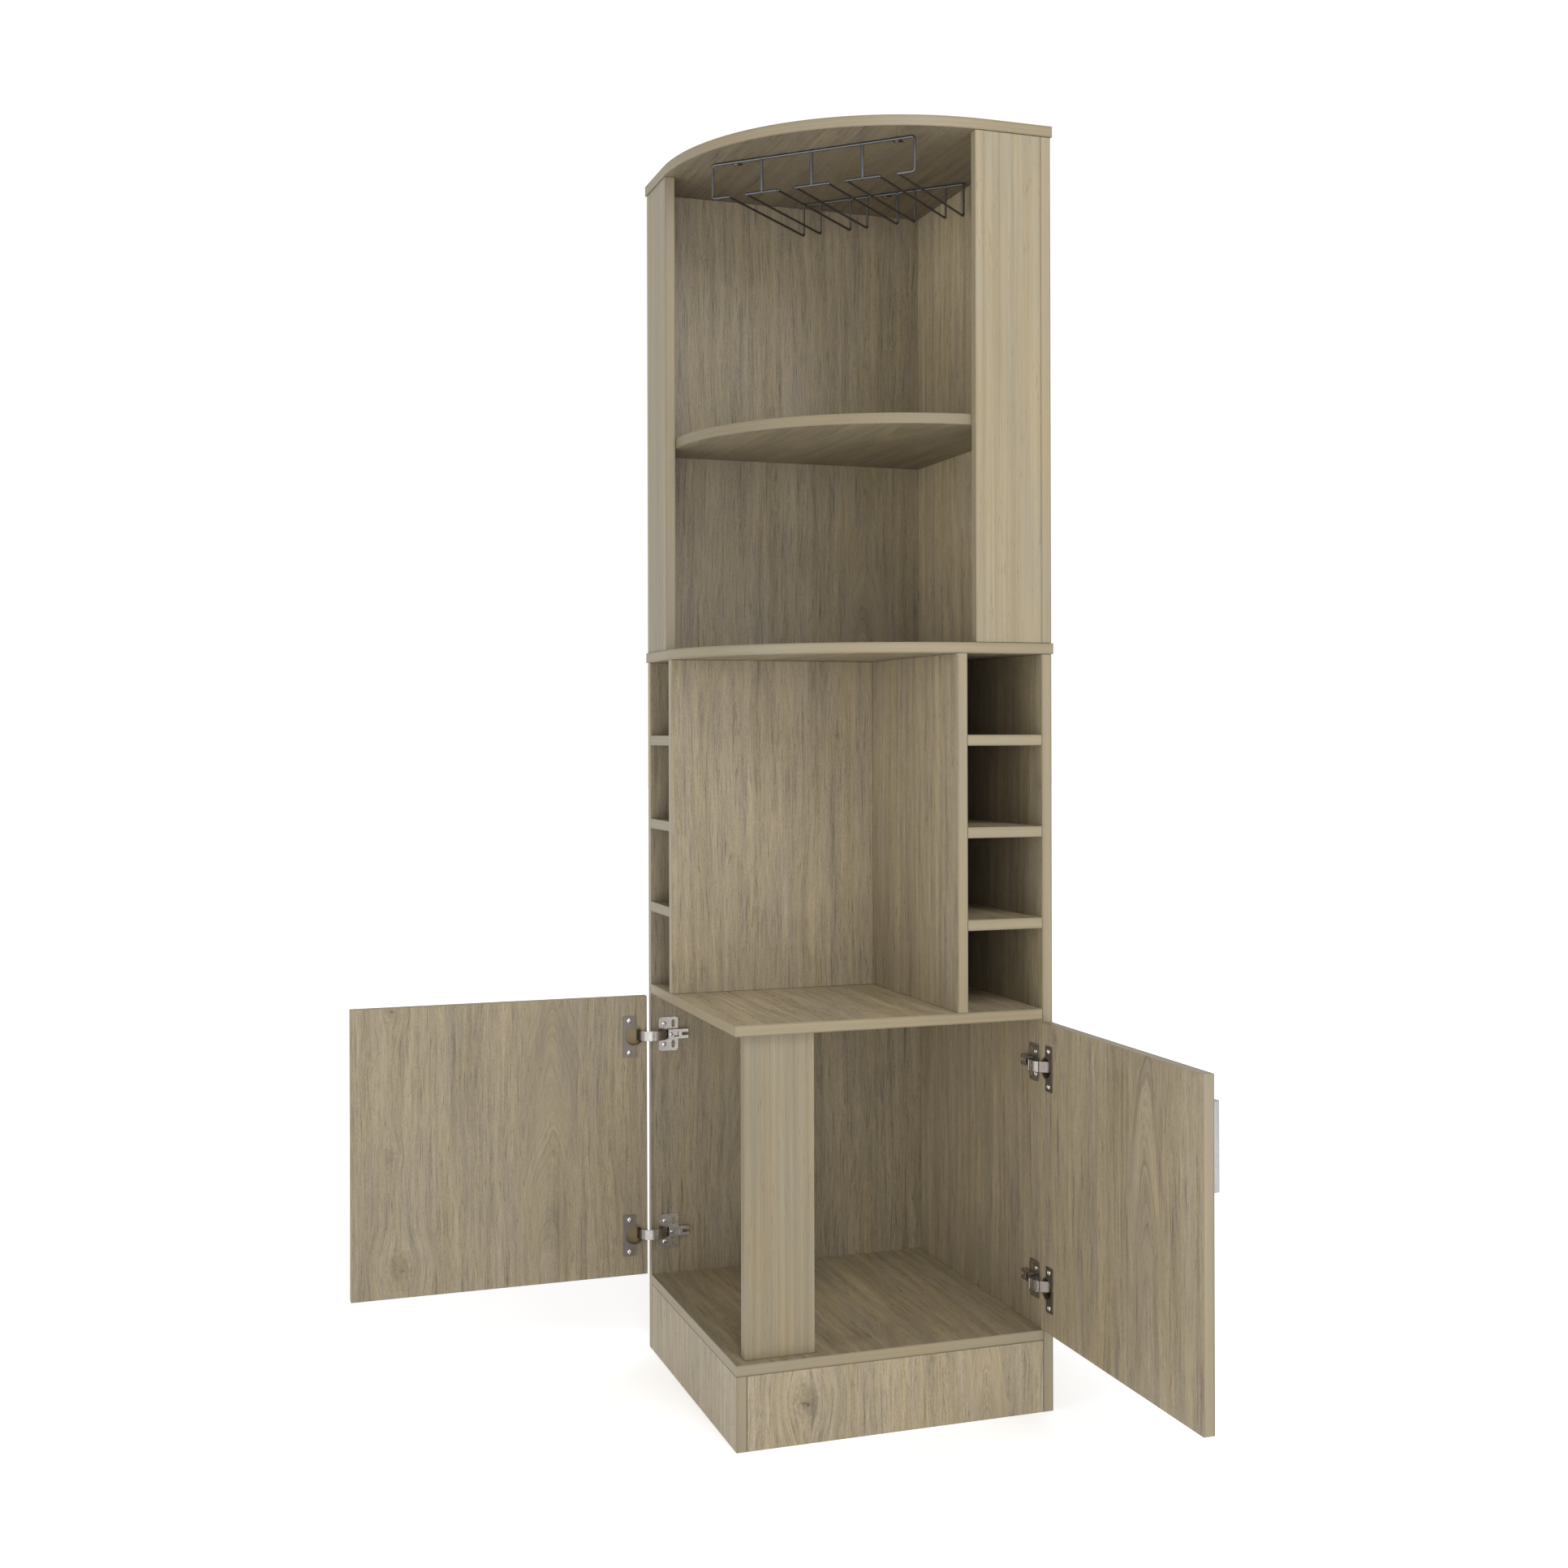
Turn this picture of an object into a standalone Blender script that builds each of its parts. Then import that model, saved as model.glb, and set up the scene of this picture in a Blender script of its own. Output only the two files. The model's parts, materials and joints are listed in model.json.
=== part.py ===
"""Corner bar cabinet in laminated board, in metres with +Z up.

The origin is the corner of the room that the cabinet stands in: the point on the floor where the two
walls meet. The right-hand wall lies in the plane x = 0 and the left-hand wall in y = 0, so the
cabinet fills negative x and y. Both doors stand open at a right angle.
"""

from math import acos, asin, cos, pi, radians, sin, sqrt

import bmesh
import bpy
from mathutils import Matrix, Vector

# Carcass sizes
BOARD = 0.015  # every board's thickness
PANEL_WIDTH = 0.452  # each wall panel, measured along its wall
PLINTH_HEIGHT = 0.098
CUPBOARD_HEIGHT = 0.424
CUBBY_WIDTH = 0.110
CUBBY_HEIGHT = 0.110
CUBBY_COUNT = 4  # bottle cubbies in each stack
LOWER_BAY_HEIGHT = 0.296  # clear height under the round middle shelf
UPPER_BAY_HEIGHT = 0.382  # clear height above it
STILE_WIDTH = 0.097
POST_WIDTH = 0.097
OVERHANG = 0.002  # the middle and top boards stand this proud of the panels, all round
TOP_RADIUS = 0.362  # round front corner of the middle and top boards
SEAM = 0.0003  # open joint between two pieces that touch

# Door sizes
DOOR_SIDE_GAP = 0.0015  # at the hinge edge and at the free edge of a closed door
DOOR_TOP_GAP = 0.0018
DOOR_BOTTOM_GAP = 0.0037
DOOR_STOP_GAP = 0.0005  # between a closed door and the corner post that stops it
OPEN_SIDE_GAP = 0.007  # an open door's inner face, inside the panel's inner face
OPEN_FRONT_GAP = 0.008  # an open door's hinge edge, in front of the panel's front edge
OPEN_ANGLE = radians(90)

# Handle sizes
HANDLE_HOLE_SPACING = 0.096
HANDLE_LEG = 0.013
HANDLE_WIDTH = 0.010
HANDLE_BAR = 0.008
HANDLE_REACH = 0.029  # from the door's face to the bar's outer face
HANDLE_DROP = 0.0937  # from the door's top edge to the handle's middle
HANDLE_INSET = 0.042  # from the door's free edge to the handle's middle
HANDLE_ROUNDING = 0.001

# Hinge sizes
HINGE_INSET = 0.060  # from the door's ends to each hinge's middle
CUP_RADIUS = 0.015
CUP_DEPTH = 0.0115
CUP_WALL = 0.001
CUP_SETBACK = 0.020  # from the door's hinge edge to the cup's middle
FLANGE_HEIGHT = 0.061
FLANGE_WIDTH = 0.0195
FLANGE_SETBACK = 0.018  # from the door's hinge edge to the flange
COLLAR_WIDTH = 0.0005  # the collar's rim around the cup
CUP_SCREW_SPACING = 0.048
CUP_SCREW_RADIUS = 0.0035
CUP_SCREW_HEAD = 0.0012
STRIP = 0.0012  # sheet thickness of the three bent strips
STRIP_HEIGHT = 0.0145
STRIP_GAP = 0.0005
STRIP_RADIUS = 0.022  # inner face of the innermost strip, about the door's axis
STRIP_END_GAP = 0.0004  # between the closed strips' ends and the cup's floor
LINK_SHARE = 0.5  # the middle strip turns half as far as the door
PLATE_SETBACK = 0.0115  # from the panel's front edge
PLATE_DEPTH = 0.030
PLATE_HEIGHT = 0.051
PLATE_THICKNESS = 0.0009
PLATE_ROUNDING = 0.004
PLATE_HOLE_RADIUS = 0.0022
PLATE_HOLE_SETBACK = 0.0085  # from the plate's front edge
PLATE_HOLE_SPACING = 0.031  # between the upper and the lower holes
PLATE_SLOT_SETBACK = 0.0225  # from the plate's front edge
PLATE_SLOT_WIDTH = 0.005
PLATE_SLOT_HEIGHT = 0.0115
PLATE_SLOT_ROUNDING = 0.002
ARM_LENGTH = 0.031
ARM_RISE = 0.0055
ARM_WINDOW_SETBACK = 0.0085  # from the arm's front to its square window
ARM_WINDOW = 0.008
FORK_LENGTH = 0.010
FORK_GAP = 0.0045

# Stemware rack sizes
WIRE_RADIUS = 0.002
HANGER_RADIUS = 0.0024
RAIL_RADIUS = 0.0017
RACK_SETBACK = 0.080  # from the top board's front edge to the front bar
RACK_CORNER_GAP = 0.1605  # from the rear bar to the corner between the wall panels
RACK_DROP = 0.0475  # from the front bar down to the rails
HANGER_PITCH = 0.0785  # the five hangers along the front bar
RAIL_REACH = 0.025  # from a hanger to the rails on each side of it
WIRE_BEND = 0.004
TAB_LENGTH = 0.020
TAB_WIDTH = 0.012
TAB_THICKNESS = 0.0012
TAB_OUTER_SHARE = 0.8  # the front tabs' places, as a share of the bar's half length

# Levels, all measured from the floor
CUPBOARD_FLOOR = PLINTH_HEIGHT + BOARD
CUPBOARD_TOP = CUPBOARD_FLOOR + CUPBOARD_HEIGHT
NICHE_FLOOR = CUPBOARD_TOP + BOARD
CUBBY_STEP = CUBBY_HEIGHT + BOARD
MIDDLE_BOARD = NICHE_FLOOR + CUBBY_COUNT * CUBBY_STEP - BOARD
BAY_FLOOR = MIDDLE_BOARD + BOARD
MIDDLE_SHELF = BAY_FLOOR + LOWER_BAY_HEIGHT
TOP_BOARD = MIDDLE_SHELF + BOARD + UPPER_BAY_HEIGHT

# Vertical planes: the panels' outer and inner faces, and the two front planes
OUTER = -OVERHANG
INNER = OUTER - BOARD
LEFT_FRONT = OUTER - PANEL_WIDTH
RIGHT_FRONT = INNER - PANEL_WIDTH

ROUND_SEGMENTS = 28
ARC_SEGMENTS = 12
CORNER_SEGMENTS = 5
WIRE_SIDES = 10
CUT_EXTRA = 0.002  # a cutter runs this far past the face it opens

# Finishes: linear base colour, roughness and metallic value
OAK = ((0.41, 0.35, 0.25, 1), 0.5, 0)
STEEL = ((0.55, 0.54, 0.52, 1), 0.3, 1)
SATIN = ((0.62, 0.62, 0.61, 1), 0.35, 1)
WIRE = ((0.33, 0.34, 0.36, 1), 0.4, 1)


# Building blocks


def finish(name, values):
    """A material of the part's own, with its colour, roughness and metallic value."""
    colour, roughness, metallic = values
    material = bpy.data.materials.new(name)
    material.use_nodes = True
    shader = material.node_tree.nodes["Principled BSDF"]
    shader.inputs["Base Color"].default_value = colour
    shader.inputs["Roughness"].default_value = roughness
    shader.inputs["Metallic"].default_value = metallic
    return material


def add_object(name, shape, values, parent=None):
    """Put a finished bmesh in the scene as one named object."""
    bmesh.ops.recalc_face_normals(shape, faces=shape.faces)
    mesh = bpy.data.meshes.new(name)
    shape.to_mesh(mesh)
    shape.free()
    if values:
        mesh.materials.append(finish(name, values))
    piece = bpy.data.objects.new(name, mesh)
    piece.parent = parent
    bpy.context.collection.objects.link(piece)
    return piece


def add_axis(name, place, turn):
    """An empty that carries a group of pieces, turned about the vertical."""
    axis = bpy.data.objects.new(name, None)
    axis.location = place
    axis.rotation_euler.z = turn
    axis.empty_display_size = BOARD
    bpy.context.collection.objects.link(axis)
    return axis


def plan(u, v, level):
    """Lift for an outline drawn in plan."""
    return Vector((u, v, level))


def elevation(u, v, level):
    """Lift for an outline drawn across the first axis, which then measures the thickness."""
    return Vector((level, u, v))


def prism(outline, low, high, lift=plan):
    """A closed solid between two copies of an outline."""
    shape = bmesh.new()
    ends = []
    for level in (low, high):
        ends.append([shape.verts.new(lift(u, v, level)) for u, v in outline])
    shape.faces.new(ends[0])
    shape.faces.new(reversed(ends[1]))
    for i in range(len(outline)):
        j = (i + 1) % len(outline)
        shape.faces.new((ends[0][i], ends[0][j], ends[1][j], ends[1][i]))
    return shape


def arc(radius, start, end, centre=(0, 0), segments=ARC_SEGMENTS):
    """Points on an arc from one angle to another."""
    points = []
    for i in range(segments + 1):
        angle = start + (end - start) * i / segments
        points.append((centre[0] + radius * cos(angle), centre[1] + radius * sin(angle)))
    return points


def rectangle(u, v):
    """The outline between two (low, high) pairs."""
    return [(u[0], v[0]), (u[1], v[0]), (u[1], v[1]), (u[0], v[1])]


def seamed(span, stands=False):
    """A board's (low, high) pair with half a seam off each end, but none off an end on the floor."""
    low, high = span
    return (low if stands else low + SEAM / 2), high - SEAM / 2


def board(name, x, y, z):
    """A rectangular board between its (low, high) places, with its seams taken off."""
    spans = (seamed(x), seamed(y), seamed(z, stands=z[0] == 0))
    centre = Vector([(low + high) / 2 for low, high in spans])
    half = [(high - low) / 2 for low, high in spans]
    shape = prism(rectangle((-half[0], half[0]), (-half[1], half[1])), -half[2], half[2])
    piece = add_object(name, shape, OAK)
    piece.location = centre
    return piece


def round_board(name, x, y, floor, radius):
    """A board lying on a level, with its front corner (low x, low y) rounded."""
    corner = (x[0] + radius, y[0] + radius)
    outline = [(x[1], y[0]), (x[1], y[1]), (x[0], y[1])]
    outline += arc(radius, pi, 3 * pi / 2, corner, ROUND_SEGMENTS)
    low, high = seamed((floor, floor + BOARD))
    return add_object(name, prism(outline, low, high), OAK)


def cylinder(radius, start, end, centre, lift):
    """A closed round bar; the lift turns its axis."""
    circle = arc(radius, 0, 2 * pi, centre, ROUND_SEGMENTS)[:-1]
    return prism(circle, start, end, lift)


def smooth(piece):
    """Shade the round faces smooth and keep the edges sharp."""
    piece.data.shade_smooth()
    piece.data.set_sharp_from_angle(angle=radians(30))


def combine(piece, operation, other):
    """Join another shape to a piece or cut it away; the other one is only a guide."""
    modifier = piece.modifiers.new(other.name, "BOOLEAN")
    modifier.operation = operation
    modifier.solver = "EXACT"
    modifier.object = other
    other.hide_render = True
    other.display_type = "WIRE"


# Carcass


def side_panels():
    """Two tall panels stand against the walls, below the middle board and again above it."""
    for prefix, z in (("lower", (0, MIDDLE_BOARD)), ("upper", (BAY_FLOOR, TOP_BOARD))):
        board(prefix + "_right_panel", (INNER, OUTER), (RIGHT_FRONT, INNER), z)
        board(prefix + "_left_panel", (LEFT_FRONT, OUTER), (INNER, OUTER), z)


def plinth():
    """Two boards on edge close the base below the doors; the left one runs through to the corner."""
    left_back = LEFT_FRONT + BOARD
    z = (0, PLINTH_HEIGHT)
    board("left_plinth", (LEFT_FRONT, left_back), (RIGHT_FRONT, INNER), z)
    board("front_plinth", (left_back, INNER), (RIGHT_FRONT, RIGHT_FRONT + BOARD), z)


def square_shelves():
    """The cupboard's floor and the worktop above it fill the whole plan."""
    for name, floor in (("bottom_shelf", PLINTH_HEIGHT), ("worktop_shelf", CUPBOARD_TOP)):
        board(name, (LEFT_FRONT, INNER), (RIGHT_FRONT, INNER), (floor, floor + BOARD))


def corner_post():
    """A flat board behind the corner where the closed doors meet stops both of them."""
    left = LEFT_FRONT + BOARD + DOOR_STOP_GAP
    front = RIGHT_FRONT + BOARD + DOOR_STOP_GAP
    board("corner_post", (left, left + POST_WIDTH), (front, front + BOARD), (CUPBOARD_FLOOR, CUPBOARD_TOP))


def bottle_cubbies():
    """A stack of cubbies stands on the worktop beside each wall panel, open to the front."""
    cubby = INNER - CUBBY_WIDTH
    z = (NICHE_FLOOR, MIDDLE_BOARD)
    board("right_rack_divider", (cubby - BOARD, cubby), (RIGHT_FRONT, INNER), z)
    board("left_rack_divider", (LEFT_FRONT, cubby - BOARD), (cubby - BOARD, cubby), z)
    for i in range(1, CUBBY_COUNT):
        top = NICHE_FLOOR + i * CUBBY_STEP
        level = (top - BOARD, top)
        board(f"right_rack_shelf_{i}", (cubby, INNER), (RIGHT_FRONT, INNER), level)
        board(f"left_rack_shelf_{i}", (LEFT_FRONT, cubby - BOARD), (cubby, INNER), level)


def round_boards():
    """The middle and top boards overhang the panels, and the middle shelf lies behind the stiles."""
    x = (LEFT_FRONT - OVERHANG, 0)
    y = (RIGHT_FRONT - OVERHANG, 0)
    for name, floor in (("middle_board", MIDDLE_BOARD), ("top_board", TOP_BOARD)):
        round_board(name, x, y, floor, TOP_RADIUS)
    x = seamed((LEFT_FRONT + BOARD, INNER))
    y = seamed((RIGHT_FRONT + BOARD, INNER))
    round_board("middle_shelf", x, y, MIDDLE_SHELF, TOP_RADIUS - BOARD)


def stiles():
    """A stile closes the front of each upper wall panel."""
    z = (BAY_FLOOR, TOP_BOARD)
    board("right_stile", (INNER - STILE_WIDTH, INNER), (RIGHT_FRONT, RIGHT_FRONT + BOARD), z)
    board("left_stile", (LEFT_FRONT, LEFT_FRONT + BOARD), (INNER - STILE_WIDTH, INNER), z)


# Doors
#
# Each door and its hinges are drawn closed, in a frame of their own about the door's axis: the first
# axis runs along the closed door to its free edge, the second runs out of the cabinet's front, and
# the third runs up. The left-hand frame is the mirror image of the right-hand one.

# The axis that carries the closed door's inner corner to its open place, from the panel's inner face
# and the front plane
CLOSED_CORNER = (DOOR_SIDE_GAP, -BOARD)
OPEN_CORNER = (OPEN_SIDE_GAP, OPEN_FRONT_GAP)
AXIS_ALONG = (OPEN_CORNER[0] - OPEN_CORNER[1] + CLOSED_CORNER[1] + CLOSED_CORNER[0]) / 2
AXIS_OUT = (OPEN_CORNER[0] + OPEN_CORNER[1] + CLOSED_CORNER[1] - CLOSED_CORNER[0]) / 2

# Places in the door's frame
PANEL_FACE = -AXIS_ALONG
FRONT_PLANE = -AXIS_OUT
HINGE_EDGE = PANEL_FACE + DOOR_SIDE_GAP
INNER_FACE = FRONT_PLANE - BOARD
DOOR_BOTTOM = CUPBOARD_FLOOR + DOOR_BOTTOM_GAP
DOOR_TOP = CUPBOARD_TOP - DOOR_TOP_GAP
CUP_MIDDLE = HINGE_EDGE + CUP_SETBACK
CUP_FLOOR = INNER_FACE + CUP_DEPTH - SEAM - CUP_WALL
HINGE_LEVELS = {"upper": DOOR_TOP - HINGE_INSET, "lower": DOOR_BOTTOM + HINGE_INSET}

RIGHT_HAND = Matrix(((-1, 0, 0), (0, -1, 0), (0, 0, 1))).to_4x4()
LEFT_HAND = Matrix(((0, -1, 0), (-1, 0, 0), (0, 0, 1))).to_4x4()


class Side:
    """One door's frame: its hand, the way it opens and the place of its axis."""

    def __init__(self, name, hand, opens, place, opening):
        self.name = name
        self.hand = hand
        self.opens = opens
        self.place = Vector(place)
        self.door_width = opening - 2 * DOOR_SIDE_GAP

    def add(self, name, shape, values, parent=None, level=0):
        """Put a shape drawn in the door's frame on the turning axis, or on the carcass beside it."""
        bmesh.ops.transform(shape, matrix=self.hand, verts=shape.verts)
        piece = add_object(f"{self.name}_{name}", shape, values, parent)
        if parent is None:
            piece.location = self.place
        piece.location.z += level
        return piece


# The right door laps the left one at the corner, so the left opening is a board narrower
RIGHT_OPENING = INNER - LEFT_FRONT
LEFT_OPENING = INNER - RIGHT_FRONT - BOARD
SIDES = (
    Side("right", RIGHT_HAND, 1, (INNER + PANEL_FACE, RIGHT_FRONT + FRONT_PLANE, 0), RIGHT_OPENING),
    Side("left", LEFT_HAND, -1, (LEFT_FRONT + FRONT_PLANE, INNER + PANEL_FACE, 0), LEFT_OPENING),
)


def across_door(u, v, level):
    """Lift for a circle drawn on the door's face, whose axis runs out of the front."""
    return Vector((u, level, v))


def door(side, axis):
    """A flat door with a round recess for each hinge cup."""
    along = (HINGE_EDGE, HINGE_EDGE + side.door_width)
    shape = prism(rectangle(along, (INNER_FACE, FRONT_PLANE)), DOOR_BOTTOM, DOOR_TOP)
    piece = side.add("door", shape, OAK, axis)
    for name, level in HINGE_LEVELS.items():
        middle = (CUP_MIDDLE, 0)
        bore = cylinder(CUP_RADIUS, INNER_FACE - CUT_EXTRA, INNER_FACE + CUP_DEPTH, middle, across_door)
        combine(piece, "DIFFERENCE", side.add(f"{name}_recess", bore, None, axis, level))


def handle(side, axis):
    """A square C-shaped pull near the door's free edge."""
    base = FRONT_PLANE + SEAM
    outer = FRONT_PLANE + HANDLE_REACH
    inner = outer - HANDLE_BAR
    middle = DOOR_TOP - HANDLE_DROP
    top = (HANDLE_HOLE_SPACING + HANDLE_LEG) / 2
    grip = (HANDLE_HOLE_SPACING - HANDLE_LEG) / 2
    half = [(base, grip), (inner, grip), (inner, -grip), (base, -grip)]
    outline = half + [(base, -top), (outer, -top), (outer, top), (base, top)]
    outline = [(u, middle + v) for u, v in outline]
    place = HINGE_EDGE + side.door_width - HANDLE_INSET
    shape = prism(outline, place - HANDLE_WIDTH / 2, place + HANDLE_WIDTH / 2, elevation)
    piece = side.add("handle", shape, SATIN, axis)
    bevel = piece.modifiers.new("rounding", "BEVEL")
    bevel.width = HANDLE_ROUNDING
    bevel.segments = 2
    smooth(piece)


# Concealed hinges
#
# On each hinge three bent strips share the door's axis. The outermost is the nose of the arm, the
# middle one is the link, and the innermost belongs to the cup. They slide past each other like a
# telescope as the door turns. Closed, all three lie in the cup.


def strip_end(radius):
    """The angle at which a closed strip stops, short of the cup's floor."""
    return -asin((-CUP_FLOOR + STRIP_END_GAP) / radius)


STRIP_STEP = STRIP + STRIP_GAP
LINK_RADIUS = STRIP_RADIUS + STRIP_STEP
NOSE_RADIUS = LINK_RADIUS + STRIP_STEP
PLATE_FACE = PANEL_FACE + SEAM + PLATE_THICKNESS
ARM_BASE = PLATE_FACE + SEAM


def arc_strip(radius, end):
    """A bent strip of sheet about the door's axis; closed, its near end stands just off the plate."""
    start = -acos((PLATE_FACE + STRIP_GAP) / radius)
    outline = arc(radius, start, end) + arc(radius + STRIP, end, start)
    return prism(outline, -STRIP_HEIGHT / 2, STRIP_HEIGHT / 2)


def rounded_rectangle(u, v, radius):
    """The outline between two (low, high) pairs, with round corners."""
    outline = []
    for i, (x, y) in enumerate(((u[1], v[1]), (u[0], v[1]), (u[0], v[0]), (u[1], v[0]))):
        centre = (min(max(x, u[0] + radius), u[1] - radius), min(max(y, v[0] + radius), v[1] - radius))
        outline += arc(radius, i * pi / 2, (i + 1) * pi / 2, centre, CORNER_SEGMENTS)
    return outline


def hinge_plate(side, name, level):
    """The thin mounting plate on the wall panel, with two round screw holes and two slots."""
    front = FRONT_PLANE - PLATE_SETBACK
    half = PLATE_HEIGHT / 2
    outline = rounded_rectangle((front - PLATE_DEPTH, front), (-half, half), PLATE_ROUNDING)
    shape = prism(outline, PANEL_FACE + SEAM, PLATE_FACE, elevation)
    piece = side.add(f"{name}_hinge_plate", shape, STEEL, level=level)
    through = (PANEL_FACE, PLATE_FACE + CUT_EXTRA)
    slot = front - PLATE_SLOT_SETBACK
    slot_u = (slot - PLATE_SLOT_WIDTH / 2, slot + PLATE_SLOT_WIDTH / 2)
    for place, way in (("top", 1), ("bottom", -1)):
        middle = way * PLATE_HOLE_SPACING / 2
        hole = cylinder(PLATE_HOLE_RADIUS, *through, (front - PLATE_HOLE_SETBACK, middle), elevation)
        combine(piece, "DIFFERENCE", side.add(f"{name}_{place}_hole", hole, None, level=level))
        slot_v = (middle - PLATE_SLOT_HEIGHT / 2, middle + PLATE_SLOT_HEIGHT / 2)
        shape = prism(rounded_rectangle(slot_u, slot_v, PLATE_SLOT_ROUNDING), *through, elevation)
        combine(piece, "DIFFERENCE", side.add(f"{name}_{place}_slot", shape, None, level=level))


def hinge_arm(side, name, level):
    """The arm lies on the plate; its front bends round into the nose and its tail is forked."""
    outer_radius = NOSE_RADIUS + STRIP
    end = strip_end(NOSE_RADIUS)
    root = -acos(ARM_BASE / NOSE_RADIUS)
    shoulder = root + STRIP / NOSE_RADIUS
    front = outer_radius * sin(shoulder)
    tail = front - ARM_LENGTH
    rise = ARM_BASE + ARM_RISE
    outline = arc(NOSE_RADIUS, root, end) + arc(outer_radius, end, shoulder)
    outline += [(rise, front), (rise, tail), (ARM_BASE, tail)]
    half = STRIP_HEIGHT / 2
    piece = side.add(f"{name}_hinge_arm", prism(outline, -half, half), STEEL, level=level)
    through = (PLATE_FACE, rise + CUT_EXTRA)
    fork = prism(rectangle(through, (tail - CUT_EXTRA, tail + FORK_LENGTH)), -FORK_GAP / 2, FORK_GAP / 2)
    combine(piece, "DIFFERENCE", side.add(f"{name}_fork", fork, None, level=level))
    window_front = front - ARM_WINDOW_SETBACK
    opening = rectangle(through, (window_front - ARM_WINDOW, window_front))
    window = prism(opening, -ARM_WINDOW / 2, ARM_WINDOW / 2)
    combine(piece, "DIFFERENCE", side.add(f"{name}_window", window, None, level=level))
    smooth(piece)


def hinge_link(side, name, level):
    """The link turns half as far as the door, about the same axis."""
    shape = arc_strip(LINK_RADIUS, strip_end(LINK_RADIUS))
    piece = side.add(f"{name}_hinge_link", shape, STEEL, level=level)
    piece.rotation_euler.z = side.opens * OPEN_ANGLE * LINK_SHARE
    smooth(piece)


def hinge_cup(side, name, level, axis):
    """A pressed cup in the door's recess, with its flange and the strip that rises out of it."""
    rim = INNER_FACE - SEAM
    face = rim - STRIP
    middle = (CUP_MIDDLE, 0)
    outer = cylinder(CUP_RADIUS - SEAM, face, INNER_FACE + CUP_DEPTH - SEAM, middle, across_door)
    piece = side.add(f"{name}_hinge_cup", outer, STEEL, axis, level)
    edge = HINGE_EDGE + FLANGE_SETBACK
    half = FLANGE_HEIGHT / 2
    flange = prism(rectangle((edge, edge + FLANGE_WIDTH), (face, rim)), -half, half)
    combine(piece, "UNION", side.add(f"{name}_flange", flange, None, axis, level))
    collar = cylinder(CUP_RADIUS + COLLAR_WIDTH, face, rim, middle, across_door)
    combine(piece, "UNION", side.add(f"{name}_collar", collar, None, axis, level))
    bore = cylinder(CUP_RADIUS - SEAM - CUP_WALL, face - CUT_EXTRA, CUP_FLOOR, middle, across_door)
    combine(piece, "DIFFERENCE", side.add(f"{name}_cup_bore", bore, None, axis, level))
    end = -asin((-CUP_FLOOR - CUP_WALL / 2) / (STRIP_RADIUS + STRIP / 2))
    strip = arc_strip(STRIP_RADIUS, end)
    combine(piece, "UNION", side.add(f"{name}_cup_strip", strip, None, axis, level))
    smooth(piece)
    screw_middle = edge + FLANGE_WIDTH / 2
    for place, way in (("top", 1), ("bottom", -1)):
        centre = (screw_middle, way * CUP_SCREW_SPACING / 2)
        head = cylinder(CUP_SCREW_RADIUS, face - SEAM - CUP_SCREW_HEAD, face - SEAM, centre, across_door)
        smooth(side.add(f"{name}_cup_{place}_screw", head, STEEL, axis, level))


def doors():
    """Both doors, each on an empty that stands on its axis."""
    for side in SIDES:
        axis = add_axis(f"{side.name}_door_axis", side.place, side.opens * OPEN_ANGLE)
        door(side, axis)
        handle(side, axis)
        for name, level in HINGE_LEVELS.items():
            hinge_plate(side, name, level)
            hinge_arm(side, name, level)
            hinge_link(side, name, level)
            hinge_cup(side, name, level, axis)


# Stemware rack
#
# The rack hangs under the top board and points into the room corner. Its own frame has the first
# axis across the rack and the second running back from the top board's front edge.

def wire(name, points, parent, values=WIRE, radius=WIRE_RADIUS):
    """A round wire swept through a list of points."""
    section = arc(radius, 0, 2 * pi, segments=WIRE_SIDES)[:-1]
    shape = bmesh.new()
    points = [Vector(point) for point in points]
    rings = []
    side = (points[1] - points[0]).orthogonal()
    for i, point in enumerate(points):
        ahead = points[min(i + 1, len(points) - 1)] - points[max(i - 1, 0)]
        side = (side - side.project(ahead)).normalized()
        up = ahead.normalized().cross(side)
        rings.append([shape.verts.new(point + side * u + up * v) for u, v in section])
    for ring, following in zip(rings, rings[1:]):
        for j in range(WIRE_SIDES):
            k = (j + 1) % WIRE_SIDES
            shape.faces.new((ring[j], ring[k], following[k], following[j]))
    shape.faces.new(rings[0])
    shape.faces.new(reversed(rings[-1]))
    piece = add_object(name, shape, values, parent)
    smooth(piece)
    return piece


def bent(corners):
    """A wire's points, with each of its inner corners turned through an arc."""
    points = [Vector(corners[0])]
    for before, corner, after in zip(corners, corners[1:], corners[2:]):
        corner = Vector(corner)
        into = (Vector(before) - corner).normalized()
        out = (Vector(after) - corner).normalized()
        centre = corner + (into + out) * WIRE_BEND
        for i in range(ARC_SEGMENTS // 2 + 1):
            angle = pi / 2 * i / (ARC_SEGMENTS // 2)
            points.append(centre - (out * cos(angle) + into * sin(angle)) * WIRE_BEND)
    return points + [Vector(corners[-1])]


def tab(name, place, depth, top, parent):
    """A flat lug under the board, beside a bar, that takes a screw."""
    across = (place - TAB_WIDTH / 2, place + TAB_WIDTH / 2)
    shape = prism(rectangle(across, (depth, depth + TAB_LENGTH)), top - TAB_THICKNESS, top)
    return add_object(name, shape, None, parent)


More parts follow.
